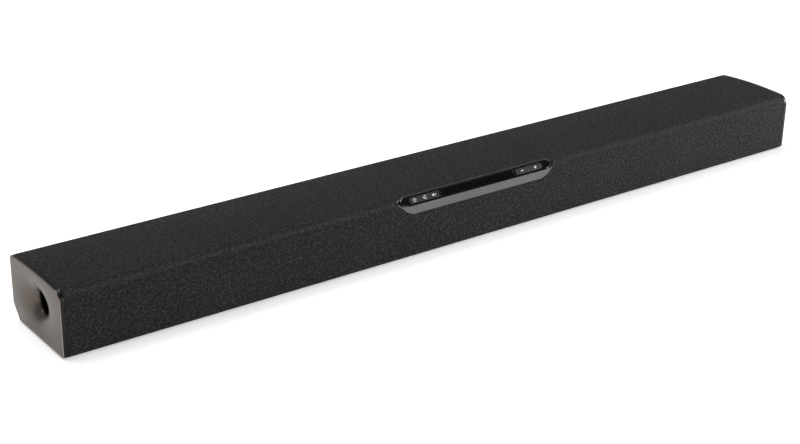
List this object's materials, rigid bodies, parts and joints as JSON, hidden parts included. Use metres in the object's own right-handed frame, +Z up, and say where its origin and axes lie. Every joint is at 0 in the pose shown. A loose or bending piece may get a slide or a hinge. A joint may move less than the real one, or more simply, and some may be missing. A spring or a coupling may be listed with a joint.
{
  "type": "soundbar",
  "caption": "Long low cloth-wrapped soundbar with dished end caps holding bass ports and a bezelled control strip with push keys on its front-top edge.",
  "frame": {"origin": "centre of the footprint, on the surface that the feet stand on", "axes": "+X along the bar, towards a viewer's right from the front; the front faces -Y; +Z up"},
  "size_m": [1.016, 0.1133, 0.073],
  "materials": {
    "aluminium": "extruded",
    "bezel": "satin metallic grey",
    "cap": "satin metallic dark gunmetal moulding",
    "circuit": "solder-masked board",
    "cloth": "tight woven polyester grille cloth",
    "component": "moulded",
    "cone": "metallised, copper tone",
    "copper": "enamelled wire",
    "dome": "coated silk",
    "faceplate": "satin",
    "ferrite": "dark ferrite",
    "foot": "matt",
    "housing": "fine spark-eroded black",
    "key": "satin with printed icons",
    "lead": "PVC",
    "lens": "milky",
    "panel": "piano gloss",
    "shield": "tinned",
    "socket": "moulded",
    "spider": "impregnated cloth",
    "steel": "zinc plated",
    "surround": "matt",
    "window": "smoked gloss"
  },
  "bodies": {
    "root": {"ac_inlet": "socket", "amplifier_board": "circuit", "amplifier_chips": "component", "aux_jack": "socket", "board_screws": "steel", "board_standoffs": "steel", "capacitors": "component", "connector_plate": "housing", "control_bezel": "bezel", "control_board": "circuit", "control_panel": "panel", "display_window": "window", "filter_coils": "copper", "front_baffle": "housing", "front_screws": "steel", "grille_cloth": "cloth", "grille_frame": "housing", "heat_sink": "aluminium", "indicator_leds": "lens", "ir_receiver": "component", "jack_board": "circuit", "keyhole_plates": "steel", "left_bulkhead": "housing", "left_end_cap": "cap", "left_port_tube": "housing", "left_tweeter_faceplate": "faceplate", "left_tweeter_magnet": "ferrite", "left_woofer_basket": "steel", "left_woofer_magnet": "ferrite", "left_woofer_spider": "spider", "left_woofer_surround": "surround", "optical_jack": "socket", "power_board": "circuit", "rear_housing": "housing", "right_bulkhead": "housing", "right_end_cap": "cap", "right_port_tube": "housing", "right_tweeter_faceplate": "faceplate", "right_tweeter_magnet": "ferrite", "right_woofer_basket": "steel", "right_woofer_magnet": "ferrite", "right_woofer_spider": "spider", "right_woofer_surround": "surround", "rubber_feet": "foot", "speaker_leads": "lead", "speaker_terminals": "component", "tact_switches": "component", "transformer": "ferrite", "wall_plate_screws": "steel", "wireless_module": "shield", "woofer_gaskets": "foot"},
    "power_key": {"power_button": "key"},
    "source_key": {"source_button": "key"},
    "mute_key": {"mute_button": "key"},
    "volume_down_key": {"volume_down_button": "key"},
    "volume_up_key": {"volume_up_button": "key"},
    "left_cone": {"left_woofer_cone": "cone"},
    "left_dome": {"left_tweeter_dome": "dome"},
    "right_cone": {"right_woofer_cone": "cone"},
    "right_dome": {"right_tweeter_dome": "dome"}
  },
  "joints": [
    {"name": "power_press", "type": "slide", "parent": "root", "child": "power_key", "axis": [0, 0.8192, -0.5736], "range_m": [0, 0.0007], "stiffness_N_per_m": 500, "springref_m": -0.001},
    {"name": "source_press", "type": "slide", "parent": "root", "child": "source_key", "axis": [0, 0.8192, -0.5736], "range_m": [0, 0.0007], "stiffness_N_per_m": 500, "springref_m": -0.001},
    {"name": "mute_press", "type": "slide", "parent": "root", "child": "mute_key", "axis": [0, 0.8192, -0.5736], "range_m": [0, 0.0007], "stiffness_N_per_m": 500, "springref_m": -0.001},
    {"name": "volume_down_press", "type": "slide", "parent": "root", "child": "volume_down_key", "axis": [0, 0.8192, -0.5736], "range_m": [0, 0.0007], "stiffness_N_per_m": 500, "springref_m": -0.001},
    {"name": "volume_up_press", "type": "slide", "parent": "root", "child": "volume_up_key", "axis": [0, 0.8192, -0.5736], "range_m": [0, 0.0007], "stiffness_N_per_m": 500, "springref_m": -0.001},
    {"name": "left_cone_travel", "type": "slide", "parent": "root", "child": "left_cone", "axis": [0, 1, 0], "range_m": [-0.0025, 0.0025], "stiffness_N_per_m": 1000, "deforming": ["left_woofer_surround", "left_woofer_spider"]},
    {"name": "left_dome_travel", "type": "slide", "parent": "root", "child": "left_dome", "axis": [0, 1, 0], "range_m": [-0.0002, 0.0002], "stiffness_N_per_m": 2000},
    {"name": "right_cone_travel", "type": "slide", "parent": "root", "child": "right_cone", "axis": [0, 1, 0], "range_m": [-0.0025, 0.0025], "stiffness_N_per_m": 1000, "deforming": ["right_woofer_surround", "right_woofer_spider"]},
    {"name": "right_dome_travel", "type": "slide", "parent": "root", "child": "right_dome", "axis": [0, 1, 0], "range_m": [-0.0002, 0.0002], "stiffness_N_per_m": 2000}
  ]
}
